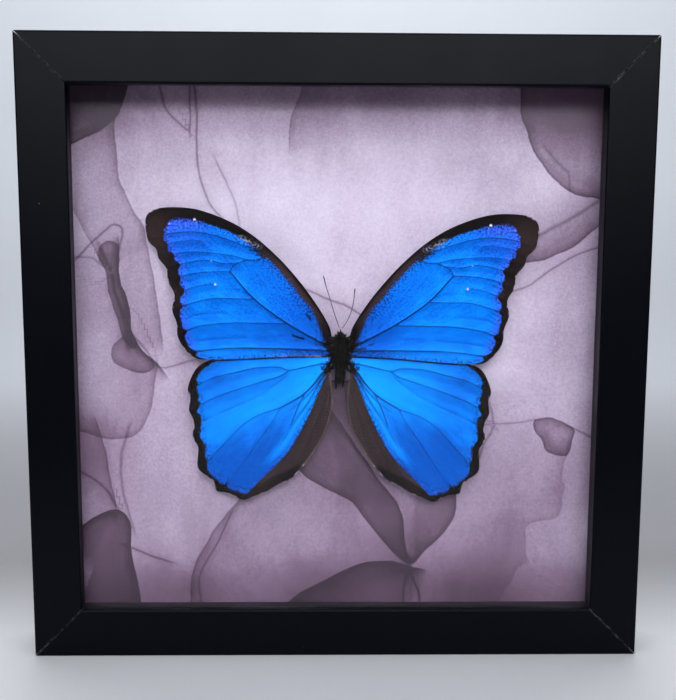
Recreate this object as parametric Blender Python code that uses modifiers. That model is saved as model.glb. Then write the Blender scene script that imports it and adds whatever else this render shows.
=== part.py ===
"""Framed butterfly specimen: a square black shadow-box frame, glazed at the front, with one
spread blue butterfly fixed in front of a printed sheet.

Built in metres, +Z up. The front of the frame faces -Y. The origin is the middle of the
footprint that the frame stands on, so the frame runs from z = 0 to z = FRAME_SIDE.
"""

import math

import bmesh
import bpy
from mathutils import Matrix, Vector

MM = 0.001
GAP = 0.3 * MM  # clearance between neighbouring pieces

# Frame mouldings
FRAME_SIDE = 229 * MM
FRAME_DEPTH = 30 * MM
RAIL_FACE = 18 * MM
LIP_THICKNESS = 4.5 * MM
REBATE_OVERLAP = 5 * MM
RAIL_EDGE_RADIUS = 0.7 * MM

# Sheets in the rebate, front to back
GLASS_THICKNESS = 2 * MM
SPACER_WIDTH = 2 * MM
SPACER_DEPTH = 10.4 * MM
PRINT_THICKNESS = 0.4 * MM
BOARD_THICKNESS = 3 * MM

FRONT = -FRAME_DEPTH / 2
BACK = FRAME_DEPTH / 2
CENTRE_Z = FRAME_SIDE / 2
REBATE_HALF = FRAME_SIDE / 2 - RAIL_FACE + REBATE_OVERLAP
SHEET_SIDE = 2 * (REBATE_HALF - GAP)
GLASS_FRONT = FRONT + LIP_THICKNESS + GAP
SPACER_FRONT = GLASS_FRONT + GLASS_THICKNESS + GAP
PRINT_FRONT = SPACER_FRONT + SPACER_DEPTH + GAP
BOARD_FRONT = PRINT_FRONT + PRINT_THICKNESS + GAP
BOARD_BACK = BOARD_FRONT + BOARD_THICKNESS

# Retaining tabs behind the board, two to a side
TAB_LENGTH = 13 * MM
TAB_WIDTH = 7 * MM
TAB_THICKNESS = 0.6 * MM
TAB_OFFSET = 55 * MM

# Saw-tooth hanger nailed to the board
HANGER_HALF_LENGTH = 22 * MM
HANGER_HEIGHT = 9 * MM
HANGER_THICKNESS = 0.8 * MM
HANGER_RISE = 2 * MM
HANGER_FOOT = 7 * MM
HANGER_RAMP = 2 * MM
HANGER_Z = CENTRE_Z + 78 * MM
HANGER_TEETH = 11
TOOTH_DEPTH = 1.6 * MM
NAIL_X = 18.5 * MM
NAIL_HEAD_RADIUS = 1.9 * MM
NAIL_HEAD_HEIGHT = 0.9 * MM
NAIL_SHANK_RADIUS = 0.7 * MM
NAIL_HOLE_RADIUS = 1.05 * MM
NAIL_LENGTH = 3.4 * MM

# Butterfly: its own plane runs through the thorax, parallel to the glass
BUTTERFLY_X = 1.2 * MM
BUTTERFLY_Z = CENTRE_Z - 2.4 * MM
BUTTERFLY_DEPTH = 10.8 * MM  # from the front face of the frame to the wing plane
BUTTERFLY_TURN = math.radians(0.6)  # the specimen sits a little clockwise
WING_THICKNESS = 0.3 * MM
RIGHT_FOREWING_DROOP = math.radians(0.6)  # its front edge hangs a little lower
FOREWING_FORWARD = 0.35 * MM
HINDWING_FORWARD = -0.35 * MM
OUTLINE_STEPS = 3

# Wing outlines in millimetres from the middle of the thorax: outward, then towards the head.
# The fore wing runs from its root along the front edge to the tip, down the scalloped outer
# margin and back along the inner margin.
FOREWING_OUTLINE = [
    (3.5, 9.6), (5.7, 15.2), (12.7, 25.6), (21.8, 36.2), (31.8, 45.1), (41.6, 51.0),
    (53.6, 55.2), (63.7, 55.9), (70.0, 54.8), (72.8, 51.5),
    (72.3, 44.9), (71.2, 42.6), (68.9, 40.4), (68.0, 37.0), (65.2, 33.3), (64.7, 28.6),
    (62.3, 23.8), (63.2, 18.2), (61.5, 13.0), (61.2, 8.2), (58.8, 3.8), (54.6, 0.2),
    (48.0, -0.9), (36.0, -0.4), (21.8, 0.6), (7.0, 1.1), (3.9, 2.0),
]
# The hind wing runs from its root under the fore wing, down the scalloped margin to the tail
# end, and back along the folded inner edge beside the abdomen.
HINDWING_OUTLINE = [
    (3.9, 2.4), (14.0, 4.0), (28.0, 4.4), (41.0, 3.0), (50.0, -0.9), (54.6, -4.2),
    (57.6, -11.2), (56.6, -15.2), (57.2, -19.8), (55.4, -24.0), (55.8, -30.2), (53.7, -34.2),
    (54.0, -41.6), (50.8, -45.0), (47.8, -47.4), (46.6, -51.0), (42.0, -51.8), (36.8, -54.3),
    (32.6, -52.8), (28.0, -51.2), (23.2, -48.2), (18.8, -46.4), (14.2, -41.6), (9.8, -35.6),
    (5.4, -27.8), (3.1, -20.0), (2.7, -13.5), (3.4, -7.5), (3.7, -2.0),
]

# Body, as (middle towards the head, half length, half width, half depth) in millimetres
HEAD = (9.9, 1.9, 1.7, 1.7)
THORAX = (3.2, 6.2, 2.9, 2.6)
ABDOMEN = (-5.0, 7.0, 1.9, 1.8)
BODY_SEGMENTS = 20
BODY_RINGS = 10

PAD_WIDTH = 5 * MM
PAD_HEIGHT = 9 * MM
PAD_FRONT = FRONT + BUTTERFLY_DEPTH + THORAX[3] * MM + GAP

# Antennae, millimetres from the thorax: outward, forward of the wing plane, towards the head
ANTENNA_RADIUS = 0.2 * MM
ANTENNA_CLUB = 1.5  # thickness of the tip against the stem
ANTENNA_STEPS = 4
LEFT_ANTENNA = [(-0.5, 0.4, 12.1), (-2.3, 0.9, 17.0), (-4.2, 1.2, 23.0), (-5.8, 1.2, 27.8), (-6.8, 1.1, 31.6)]
RIGHT_ANTENNA = [(0.6, 0.4, 12.1), (2.4, 0.9, 15.0), (3.9, 1.2, 18.8), (4.7, 1.2, 23.0), (5.0, 1.1, 27.1)]


def clear_scene():
    for obj in list(bpy.data.objects):
        bpy.data.objects.remove(obj, do_unlink=True)


def new_collection(name):
    collection = bpy.data.collections.new(name)
    bpy.context.scene.collection.children.link(collection)
    return collection


def material(name, colour, roughness, metallic=0.0, transmission=0.0):
    mat = bpy.data.materials.new(name)
    mat.use_nodes = True
    shader = mat.node_tree.nodes["Principled BSDF"]
    shader.inputs["Base Color"].default_value = (*colour, 1.0)
    shader.inputs["Roughness"].default_value = roughness
    shader.inputs["Metallic"].default_value = metallic
    shader.inputs["Transmission Weight"].default_value = transmission
    mat.diffuse_color = (*colour, 1.0)
    return mat


def place(name, data, mat, collection, location=(0, 0, 0), parent=None):
    obj = bpy.data.objects.new(name, data)
    data.materials.append(mat)
    collection.objects.link(obj)
    obj.location = location
    obj.parent = parent
    return obj


def mesh_from(bm, name):
    bmesh.ops.recalc_face_normals(bm, faces=bm.faces)
    mesh = bpy.data.meshes.new(name)
    bm.to_mesh(mesh)
    bm.free()
    return mesh


def box(name, size, centre, mat, collection, bevel=0.0):
    """A box of the given size, its middle at centre, with its edges rounded by bevel."""
    bm = bmesh.new()
    bmesh.ops.create_cube(bm, size=1.0, matrix=Matrix.Diagonal((*size, 1.0)))
    obj = place(name, mesh_from(bm, name), mat, collection, centre)
    if bevel:
        edge = obj.modifiers.new("rounded edges", "BEVEL")
        edge.width = bevel
        edge.segments = 2
        edge.limit_method = "ANGLE"
    return obj


def cylinder_cutter(name, radius, length, centre, collection):
    """A cutter along Y, longer than the wall that it goes through."""
    bm = bmesh.new()
    turn = Matrix.Rotation(math.pi / 2, 4, "X")
    bmesh.ops.create_cone(bm, cap_ends=True, segments=16, radius1=radius, radius2=radius,
                          depth=length, matrix=turn)
    cutter = bpy.data.objects.new(name, mesh_from(bm, name))
    collection.objects.link(cutter)
    cutter.location = centre
    hide_cutter(cutter)
    return cutter


def hide_cutter(cutter):
    cutter.hide_render = True
    cutter.display_type = "WIRE"


def cut(obj, cutter):
    boolean = obj.modifiers.new("cut " + cutter.name, "BOOLEAN")
    boolean.operation = "DIFFERENCE"
    boolean.solver = "EXACT"
    boolean.object = cutter


def smooth_outline(points, steps):
    """Points along a closed smooth curve through the given points (Catmull-Rom)."""
    count = len(points)
    outline = []
    for i in range(count):
        before, start, end, after = (Vector(points[(i + k) % count]) for k in (-1, 0, 1, 2))
        for step in range(steps):
            t = step / steps
            outline.append(0.5 * (2 * start + (end - before) * t
                                  + (2 * before - 5 * start + 4 * end - after) * t * t
                                  + (3 * start - before - 3 * end + after) * t ** 3))
    return outline


def smooth_route(points, steps):
    """Points along an open smooth curve through the given points."""
    ends = [2 * Vector(points[0]) - Vector(points[1])] + [Vector(p) for p in points]
    ends.append(2 * ends[-1] - ends[-2])
    route = []
    for i in range(len(points) - 1):
        before, start, end, after = ends[i:i + 4]
        for step in range(steps):
            t = step / steps
            route.append(0.5 * (2 * start + (end - before) * t
                                + (2 * before - 5 * start + 4 * end - after) * t * t
                                + (3 * start - before - 3 * end + after) * t ** 3))
    route.append(ends[-2])
    return route


def flat_plate(name, outline, thickness, mat, collection, location, parent=None):
    """A plate cut to an outline (local X and Y) and stood up to face -Y."""
    curve = bpy.data.curves.new(name, "CURVE")
    curve.dimensions = "2D"
    curve.fill_mode = "BOTH"
    curve.extrude = thickness / 2
    spline = curve.splines.new("POLY")
    spline.points.add(len(outline) - 1)
    for point, (x, y) in zip(spline.points, outline):
        point.co = (x, y, 0, 1)
    spline.use_cyclic_u = True
    plate = place(name, curve, mat, collection, location, parent)
    plate.rotation_euler = (math.pi / 2, 0, 0)
    return plate


# ---- frame -------------------------------------------------------------------------------

def rail_mesh():
    """One rail, drawn as the bottom one: a rebated section run along X and mitred at 45
    degrees at both ends, just short of the neighbouring rail."""
    lip_back = FRONT + LIP_THICKNESS
    rebate_wall = RAIL_FACE - REBATE_OVERLAP
    section = [
        (FRONT, 0), (FRONT, RAIL_FACE), (lip_back, RAIL_FACE),
        (lip_back, rebate_wall), (BACK, rebate_wall), (BACK, 0),
    ]
    half = FRAME_SIDE / 2
    bm = bmesh.new()
    ring = [bm.verts.new((-half, y, z)) for y, z in section]
    face = bm.faces.new(ring)
    run = bmesh.ops.extrude_face_region(bm, geom=[face])
    moved = [v for v in run["geom"] if isinstance(v, bmesh.types.BMVert)]
    bmesh.ops.translate(bm, verts=moved, vec=(2 * half, 0, 0))
    rebate_corner = Vector((0, lip_back, rebate_wall))
    rounded = []
    for edge in bm.edges:
        start, end = (v.co for v in edge.verts)
        along_x = abs(start.x - end.x) > half
        inner_corner = (Vector((0, start.y, start.z)) - rebate_corner).length < GAP
        if along_x and not inner_corner:
            rounded.append(edge)
    bmesh.ops.bevel(bm, geom=rounded, offset=RAIL_EDGE_RADIUS, segments=3, profile=0.5, affect="EDGES")
    for side in (-1, 1):
        normal = Vector((side, 0, 1)).normalized()
        corner = Vector((side * half, 0, 0))
        parts = bm.verts[:] + bm.edges[:] + bm.faces[:]
        sliced = bmesh.ops.bisect_plane(bm, geom=parts, plane_co=corner - normal * GAP / 2,
                                        plane_no=normal, clear_outer=True)
        rim = [e for e in sliced["geom_cut"] if isinstance(e, bmesh.types.BMEdge)]
        bmesh.ops.holes_fill(bm, edges=rim)
    return mesh_from(bm, "rail")


def add_rails(mat, collection):
    """Four rails from one mesh, each turned about the middle of the frame."""
    pivot = bpy.data.objects.new("frame_middle", None)
    collection.objects.link(pivot)
    pivot.location = (0, 0, CENTRE_Z)
    mesh = rail_mesh()
    mesh.transform(Matrix.Translation((0, 0, -CENTRE_Z)))
    mesh.materials.append(mat)
    for name, quarter_turns in (("bottom", 0), ("left", 1), ("top", 2), ("right", 3)):
        rail = bpy.data.objects.new("rail_" + name, mesh)
        collection.objects.link(rail)
        rail.parent = pivot
        rail.rotation_euler = (0, quarter_turns * math.pi / 2, 0)


def add_sheets(mats, collection, cutters):
    """Glass, spacer strips, printed sheet and backing board, stacked in the rebate."""
    def sheet(name, front, thickness, mat, bevel=0.0):
        centre = (0, front + thickness / 2, CENTRE_Z)
        return box(name, (SHEET_SIDE, thickness, SHEET_SIDE), centre, mat, collection, bevel)

    sheet("glass_pane", GLASS_FRONT, GLASS_THICKNESS, mats["glass"], bevel=0.2 * MM)
    sheet("backing_print", PRINT_FRONT, PRINT_THICKNESS, mats["print"])
    board = sheet("backing_board", BOARD_FRONT, BOARD_THICKNESS, mats["board"])
    for side, x in (("left", -NAIL_X), ("right", NAIL_X)):
        centre = (x, BOARD_BACK, HANGER_Z)
        cut(board, cylinder_cutter("nail_hole_" + side, NAIL_HOLE_RADIUS, 5 * MM, centre, cutters))

    middle_y = SPACER_FRONT + SPACER_DEPTH / 2
    reach = SHEET_SIDE / 2 - SPACER_WIDTH / 2
    for name, side in (("top", 1), ("bottom", -1)):
        size = (SHEET_SIDE, SPACER_DEPTH, SPACER_WIDTH)
        box("spacer_" + name, size, (0, middle_y, CENTRE_Z + side * reach), mats["spacer"], collection)
    upright = SHEET_SIDE - 2 * (SPACER_WIDTH + GAP)
    for name, side in (("left", -1), ("right", 1)):
        size = (SPACER_WIDTH, SPACER_DEPTH, upright)
        box("spacer_" + name, size, (side * reach, middle_y, CENTRE_Z), mats["spacer"], collection)


def tab_outline():
    """A strip with a round end, from its root at the rail inwards along local Y."""
    half = TAB_WIDTH / 2
    straight = TAB_LENGTH - half
    outline = [(-half, 0), (half, 0)]
    for i in range(9):
        angle = math.pi * i / 8
        outline.append((half * math.cos(angle), straight + half * math.sin(angle)))
    return outline


def add_tabs(mat, collection):
    """Two metal tabs to a side, lying on the back of the board to hold the stack in."""
    pivot = bpy.data.objects.new("tab_middle", None)
    collection.objects.link(pivot)
    pivot.location = (0, BOARD_BACK + GAP + TAB_THICKNESS / 2, CENTRE_Z)
    root = -(REBATE_HALF - GAP)
    for name, quarter_turns in (("bottom", 0), ("left", 1), ("top", 2), ("right", 3)):
        side = bpy.data.objects.new("tab_side_" + name, None)
        collection.objects.link(side)
        side.parent = pivot
        side.rotation_euler = (0, quarter_turns * math.pi / 2, 0)
        for number, offset in ((1, -TAB_OFFSET), (2, TAB_OFFSET)):
            flat_plate(f"retaining_tab_{name}_{number}", tab_outline(), TAB_THICKNESS, mat,
                       collection, (offset, 0, root), parent=side)


def hanger_mesh():
    """A strip with flat feet on the board and a raised middle, drawn as an open surface."""
    half = HANGER_HALF_LENGTH
    inner = half - HANGER_FOOT
    path = [(-half, 0), (-inner, 0), (-inner + HANGER_RAMP, HANGER_RISE)]
    path += [(-x, y) for x, y in reversed(path)]
    bm = bmesh.new()
    low = [bm.verts.new((x, y, -HANGER_HEIGHT / 2)) for x, y in path]
    edges = [bm.edges.new(pair) for pair in zip(low, low[1:])]
    rise = bmesh.ops.extrude_edge_only(bm, edges=edges)
    moved = [v for v in rise["geom"] if isinstance(v, bmesh.types.BMVert)]
    bmesh.ops.translate(bm, verts=moved, vec=(0, 0, HANGER_HEIGHT))
    return mesh_from(bm, "sawtooth_hanger")


def add_hanger(mat, collection, cutters):
    """The saw-tooth strip and its two nails, high on the back of the board."""
    foot_middle = BOARD_BACK + GAP + HANGER_THICKNESS / 2
    hanger = place("sawtooth_hanger", hanger_mesh(), mat, collection, (0, foot_middle, HANGER_Z))
    wall = hanger.modifiers.new("strip thickness", "SOLIDIFY")
    wall.thickness = HANGER_THICKNESS
    wall.offset = 0
    wall.use_even_offset = True

    raised_half = HANGER_HALF_LENGTH - HANGER_FOOT - HANGER_RAMP
    pitch = 2 * raised_half / HANGER_TEETH
    lower_edge = -HANGER_HEIGHT / 2
    notches = [(raised_half, lower_edge - MM), (-raised_half, lower_edge - MM)]
    for i in range(HANGER_TEETH):
        left = -raised_half + i * pitch
        notches.append((left, lower_edge - 0.1 * MM))
        notches.append((left + pitch / 2, lower_edge + TOOTH_DEPTH))
    notches.append((raised_half, lower_edge - 0.1 * MM))
    teeth = flat_plate("hanger_teeth", notches, 8 * MM, mat, cutters,
                       (0, foot_middle + HANGER_RISE, HANGER_Z))
    cut(hanger, solid_from_curve(teeth, cutters))

    for side, x in (("left", -NAIL_X), ("right", NAIL_X)):
        hole = cylinder_cutter("hanger_hole_" + side, NAIL_HOLE_RADIUS, 5 * MM,
                               (x, foot_middle, HANGER_Z), cutters)
        cut(hanger, hole)
        under_head = foot_middle + HANGER_THICKNESS / 2 + GAP
        nail = place("hanger_nail_" + side, nail_mesh(), mat, collection, (x, under_head, HANGER_Z))
        nail.rotation_euler = (-math.pi / 2, 0, 0)


def solid_from_curve(obj, collection):
    """A mesh cutter with the shape of a curve object, which it takes the place of."""
    bpy.context.view_layer.update()
    graph = bpy.context.evaluated_depsgraph_get()
    mesh = bpy.data.meshes.new_from_object(obj.evaluated_get(graph))
    bm = bmesh.new()
    bm.from_mesh(mesh)
    bmesh.ops.remove_doubles(bm, verts=bm.verts, dist=0.01 * MM)
    bmesh.ops.recalc_face_normals(bm, faces=bm.faces)
    bm.to_mesh(mesh)
    bm.free()
    solid = bpy.data.objects.new(obj.name + "_cutter", mesh)
    solid.matrix_world = obj.matrix_world
    collection.objects.link(solid)
    hide_cutter(solid)
    bpy.data.objects.remove(obj, do_unlink=True)
    return solid


def nail_mesh():
    """A nail turned about local Z: shank below, low domed head above z = 0."""
    profile = [(0, NAIL_HEAD_HEIGHT)]
    for i in range(1, 4):
        angle = math.pi / 2 * i / 4
        profile.append((NAIL_HEAD_RADIUS * math.sin(angle), NAIL_HEAD_HEIGHT * math.cos(angle)))
    profile += [(NAIL_HEAD_RADIUS, 0), (NAIL_SHANK_RADIUS, 0), (NAIL_SHANK_RADIUS, -0.8 * NAIL_LENGTH),
                (0, -NAIL_LENGTH)]
    bm = bmesh.new()
    points = [bm.verts.new((r, 0, z)) for r, z in profile]
    edges = [bm.edges.new(pair) for pair in zip(points, points[1:])]
    bmesh.ops.spin(bm, geom=points + edges, cent=(0, 0, 0), axis=(0, 0, 1), angle=2 * math.pi,
                   steps=14, use_merge=True, use_duplicate=False)
    bmesh.ops.remove_doubles(bm, verts=bm.verts, dist=0.001 * MM)
    mesh = mesh_from(bm, "nail")
    mesh.shade_smooth()
    mesh.set_sharp_from_angle(angle=math.radians(40))
    return mesh


# ---- butterfly ---------------------------------------------------------------------------

def add_wings(mat, collection, specimen):
    """A pair of fore wings lying over a pair of hind wings, each cut from one outline."""
    for kind, points, forward in (("forewing", FOREWING_OUTLINE, FOREWING_FORWARD),
                                  ("hindwing", HINDWING_OUTLINE, HINDWING_FORWARD)):
        for side, sign in (("left", -1), ("right", 1)):
            outline = [(sign * x * MM, z * MM) for x, z in smooth_outline(points, OUTLINE_STEPS)]
            wing = flat_plate(f"{kind}_{side}", outline, WING_THICKNESS, mat, collection,
                              (0, -forward, 0), parent=specimen)
            if wing.name == "forewing_right":
                wing.rotation_euler.y = RIGHT_FOREWING_DROOP


def add_body(mat, collection, specimen):
    """Head, thorax and abdomen, three overlapping ovals joined into one solid."""
    ovals = []
    for name, (middle, half_length, half_width, half_depth) in (
            ("body", THORAX), ("head_oval", HEAD), ("abdomen_oval", ABDOMEN)):
        bm = bmesh.new()
        scale = Matrix.Diagonal((half_width * MM, half_depth * MM, half_length * MM, 1))
        bmesh.ops.create_uvsphere(bm, u_segments=BODY_SEGMENTS, v_segments=BODY_RINGS, radius=1,
                                  matrix=scale)
        mesh = mesh_from(bm, name)
        mesh.shade_smooth()
        ovals.append(place(name, mesh, mat, collection, (0, 0, middle * MM), specimen))
    body = ovals[0]
    for oval in ovals[1:]:
        hide_cutter(oval)
        join = body.modifiers.new("join " + oval.name, "BOOLEAN")
        join.operation = "UNION"
        join.solver = "EXACT"
        join.object = oval


def add_antenna(name, points, mat, collection, specimen):
    route = smooth_route(points, ANTENNA_STEPS)
    curve = bpy.data.curves.new(name, "CURVE")
    curve.dimensions = "3D"
    curve.bevel_depth = ANTENNA_RADIUS
    curve.bevel_resolution = 2
    curve.use_fill_caps = True
    spline = curve.splines.new("POLY")
    spline.points.add(len(route) - 1)
    for i, (outward, forward, up) in enumerate(route):
        spline.points[i].co = (outward * MM, -forward * MM, up * MM, 1)
        near_tip = max(0.0, i / (len(route) - 1) - 0.8) / 0.2
        spline.points[i].radius = 1 + (ANTENNA_CLUB - 1) * near_tip
    place(name, curve, mat, collection, parent=specimen)


def add_butterfly(mats, collection):
    specimen = bpy.data.objects.new("specimen", None)
    collection.objects.link(specimen)
    specimen.location = (BUTTERFLY_X, FRONT + BUTTERFLY_DEPTH, BUTTERFLY_Z)
    specimen.rotation_euler = (0, BUTTERFLY_TURN, 0)
    add_wings(mats["wing"], collection, specimen)
    add_body(mats["body"], collection, specimen)
    add_antenna("antenna_left", LEFT_ANTENNA, mats["body"], collection, specimen)
    add_antenna("antenna_right", RIGHT_ANTENNA, mats["body"], collection, specimen)

    pad_depth = PRINT_FRONT - GAP - PAD_FRONT
    pad_centre = (BUTTERFLY_X, PAD_FRONT + pad_depth / 2, BUTTERFLY_Z + THORAX[0] * MM)
    box("mounting_pad", (PAD_WIDTH, pad_depth, PAD_HEIGHT), pad_centre, mats["pad"], collection,
        bevel=0.4 * MM)


def main():
    clear_scene()
    parts = new_collection("framed_butterfly_specimen")
    cutters = new_collection("cutters")
    mats = {
        "frame": material("black frame foil", (0.012, 0.013, 0.017), 0.38),
        "glass": material("clear glass", (0.96, 0.98, 0.97), 0.02, transmission=1.0),
        "spacer": material("black spacer", (0.012, 0.012, 0.014), 0.7),
        "print": material("lilac ink wash print", (0.58, 0.49, 0.60), 0.6),
        "board": material("brown hardboard", (0.26, 0.15, 0.08), 0.75),
        "metal": material("zinc plated steel", (0.62, 0.63, 0.64), 0.35, metallic=1.0),
        "wing": material("blue wing scales", (0.0, 0.21, 0.86), 0.35, metallic=0.3),
        "body": material("dark hairy body", (0.015, 0.012, 0.011), 0.8),
        "pad": material("white foam pad", (0.8, 0.8, 0.78), 0.9),
    }
    add_rails(mats["frame"], parts)
    add_sheets(mats, parts, cutters)
    add_tabs(mats["metal"], parts)
    add_hanger(mats["metal"], parts, cutters)
    add_butterfly(mats, parts)


main()
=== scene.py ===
import math

import bmesh
import bpy
import numpy as np
from mathutils import Euler, Matrix, Vector
from mathutils.geometry import delaunay_2d_cdt


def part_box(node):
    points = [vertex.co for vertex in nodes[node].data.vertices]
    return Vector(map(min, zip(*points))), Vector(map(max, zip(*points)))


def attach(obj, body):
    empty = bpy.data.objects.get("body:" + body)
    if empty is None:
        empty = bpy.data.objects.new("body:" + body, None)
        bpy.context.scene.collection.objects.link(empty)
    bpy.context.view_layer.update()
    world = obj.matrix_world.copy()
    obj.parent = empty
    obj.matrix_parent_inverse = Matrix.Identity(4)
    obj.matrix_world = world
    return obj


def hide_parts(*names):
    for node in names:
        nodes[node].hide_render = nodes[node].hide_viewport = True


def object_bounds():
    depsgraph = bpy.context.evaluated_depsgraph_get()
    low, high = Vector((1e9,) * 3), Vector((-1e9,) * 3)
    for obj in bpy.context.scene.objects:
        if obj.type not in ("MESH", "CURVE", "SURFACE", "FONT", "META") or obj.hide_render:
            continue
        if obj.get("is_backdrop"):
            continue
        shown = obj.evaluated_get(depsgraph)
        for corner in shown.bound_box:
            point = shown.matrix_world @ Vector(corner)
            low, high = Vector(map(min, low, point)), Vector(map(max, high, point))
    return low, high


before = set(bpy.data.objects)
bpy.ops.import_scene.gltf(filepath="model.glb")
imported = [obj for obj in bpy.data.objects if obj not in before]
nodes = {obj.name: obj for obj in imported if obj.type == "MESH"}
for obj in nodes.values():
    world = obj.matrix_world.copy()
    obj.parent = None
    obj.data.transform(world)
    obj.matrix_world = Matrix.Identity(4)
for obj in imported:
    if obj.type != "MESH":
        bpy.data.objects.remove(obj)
cad_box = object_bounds()

MM = 0.001
RAILS = ("rail_top", "rail_bottom", "rail_left", "rail_right")

# ---- places, read from the frame

frame_low, frame_high = cad_box
FRONT_Y = frame_low.y
CENTRE_Z = (frame_low.z + frame_high.z) / 2
FRAME_HALF = frame_high.x / MM
RAIL_FACE = (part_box("rail_bottom")[1].z - frame_low.z) / MM

THORAX = (3.2, 6.0, 2.7, 2.6)  # middle towards the head, half length, half width, half depth
ABDOMEN = (-3.6, 4.5, 1.3, 1.4)
HEAD = (8.6, 1.6, 1.1, 1.3)
WING_STEP = 0.35  # fore wings lie this far in front of the specimen's plane, hind wings behind
SPECIMEN_TURN = math.radians(0.6)
RIGHT_FOREWING_DROOP = math.radians(0.6)

pad_low, pad_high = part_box("mounting_pad")
specimen_place = Vector((
    (pad_low.x + pad_high.x) / 2,
    (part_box("body")[0].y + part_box("body")[1].y) / 2,
    (pad_low.z + pad_high.z) / 2 - THORAX[0] * MM,
))
SPECIMEN = Matrix.Translation(specimen_place) @ Matrix.Rotation(SPECIMEN_TURN, 4, "Y")


# ---- curves and distances, in millimetres

def smooth(points, steps, closed=False):
    """Points along a smooth curve through the given points (Catmull-Rom)."""
    points = np.array(points, float)
    if closed:
        padded = np.vstack([points[-1:], points, points[:2]])
    else:
        padded = np.vstack([2 * points[0] - points[1], points, 2 * points[-1] - points[-2]])
    t = (np.arange(steps) / steps)[:, None]
    runs = []
    for before, start, end, after in zip(padded, padded[1:], padded[2:], padded[3:]):
        runs.append(0.5 * (2 * start + (end - before) * t
                           + (2 * before - 5 * start + 4 * end - after) * t ** 2
                           + (3 * start - before - 3 * end + after) * t ** 3))
    if not closed:
        runs.append(points[-1:])
    return np.vstack(runs)


def along(points, line):
    """For each point: distance to the line carried on 8 mm past its ends, +1 or -1 for its left
    or right side, how far past an end it is, and how far along the line from its start."""
    reach = 8.0
    start, step = line[:-1], np.diff(line, axis=0)
    length = np.linalg.norm(step, axis=1)
    offset = points[:, None, :] - start[None]
    t = (offset * step).sum(2) / length ** 2
    low, high = np.zeros(len(step)), np.ones(len(step))
    low[0], high[-1] = -reach / length[0], 1 + reach / length[-1]
    clamped = np.clip(t, low, high)
    gap = np.linalg.norm(offset - clamped[..., None] * step, axis=2)
    nearest = gap.argmin(1)
    row = np.arange(len(points))
    cross = step[nearest, 0] * offset[row, nearest, 1] - step[nearest, 1] * offset[row, nearest, 0]
    t_near = clamped[row, nearest]
    past = np.maximum(-t_near, t_near - 1).clip(0) * length[nearest]
    run = np.concatenate([[0], np.cumsum(length)])[nearest] + t_near * length[nearest]
    return gap[row, nearest], np.where(cross >= 0, 1.0, -1.0), past, run


def to_line(points, line):
    """Distance from each point to an open line."""
    gap, _, past, _ = along(points, line)
    return np.hypot(gap, past)


def inside(points, outline):
    """True for points inside a closed outline."""
    x, y = points[:, :1], points[:, 1:]
    x1, y1 = outline[:, 0], outline[:, 1]
    x2, y2 = np.roll(x1, -1), np.roll(y1, -1)
    crosses = ((y1 > y) != (y2 > y)) & (x < (x2 - x1) * (y - y1) / (y2 - y1 + 1e-12) + x1)
    return crosses.sum(1) % 2 == 1


def depth_inside(points, outline):
    """Distance to a closed outline, positive inside it and negative outside."""
    ring = np.vstack([outline, outline[:1]])
    start, step = ring[:-1], np.diff(ring, axis=0)
    offset = points[:, None, :] - start[None]
    t = ((offset * step).sum(2) / (step ** 2).sum(1)).clip(0, 1)
    gap = np.linalg.norm(offset - t[..., None] * step, axis=2).min(1)
    return np.where(inside(points, outline), gap, -gap)


def columns(*parts):
    """Rows of coordinates from arrays and single numbers."""
    return np.column_stack(np.broadcast_arrays(*parts))


def ramp(value, low, high):
    """0 below low, 1 above high, smooth between them."""
    t = ((value - low) / (high - low)).clip(0, 1)
    return t * t * (3 - 2 * t)


def bell(points, middle, radius):
    """1 at a point, falling smoothly to nothing over about two radii."""
    return np.exp(-((points - np.array(middle)) ** 2).sum(1) / radius ** 2)


def bells(points, hills):
    """Sum of bells, each given as how strong it is, its radius and its middle."""
    return sum(share * bell(points, middle, radius) for share, radius, middle in hills)


def ridge(gap, width):
    """1 where the gap is 0, falling smoothly to nothing over about two widths."""
    return np.exp(-(gap / width) ** 2)


def lumps(points, seed, size):
    """Smooth random hills between about -1 and 1, as broad as size."""
    rng = np.random.default_rng(seed)
    total = np.zeros(len(points))
    for _ in range(7):
        heading = rng.uniform(0, 2 * math.pi)
        wave = rng.uniform(0.7, 1.6) * 2 * math.pi / size
        total += np.sin(wave * (points @ [math.cos(heading), math.sin(heading)]) + rng.uniform(0, 7))
    return total / 3.5


# ---- pieces

def new_object(name, data):
    made = bpy.data.objects.new(name, data)
    bpy.context.scene.collection.objects.link(made)
    return made


def piece(name, verts, faces, matrix, material, stands_for, fields=None):
    """A mesh piece on the root body. Verts are in millimetres before matrix is applied."""
    mesh = bpy.data.meshes.new(name)
    mesh.from_pydata((np.asarray(verts) * MM).tolist(), [], faces)
    for field, values in (fields or {}).items():
        attribute = mesh.attributes.new(field, "FLOAT", "POINT")
        attribute.data.foreach_set("value", np.asarray(values, np.float32))
    mesh.transform(matrix)
    mesh.polygons.foreach_set("use_smooth", [True] * len(mesh.polygons))
    mesh.materials.append(material)
    obj = new_object(name, mesh)
    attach(obj, "root")
    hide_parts(*stands_for)
    return obj


def repaint(names, material):
    for name in names:
        nodes[name].data.materials.clear()
        nodes[name].data.materials.append(material)


# ---- finishes

class Signal:
    """A number or colour that comes out of a node. Arithmetic with it adds math nodes."""

    def __init__(self, paint, socket):
        self.paint = paint
        self.socket = socket

    def __add__(self, other):
        return self.paint.math("ADD", self, other)

    def __sub__(self, other):
        return self.paint.math("SUBTRACT", self, other)

    def __rsub__(self, other):
        return self.paint.math("SUBTRACT", other, self)

    def __mul__(self, other):
        return self.paint.math("MULTIPLY", self, other)

    def __truediv__(self, other):
        return self.paint.math("DIVIDE", self, other)

    def __abs__(self):
        return self.paint.math("ABSOLUTE", self)

    __radd__ = __add__


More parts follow.
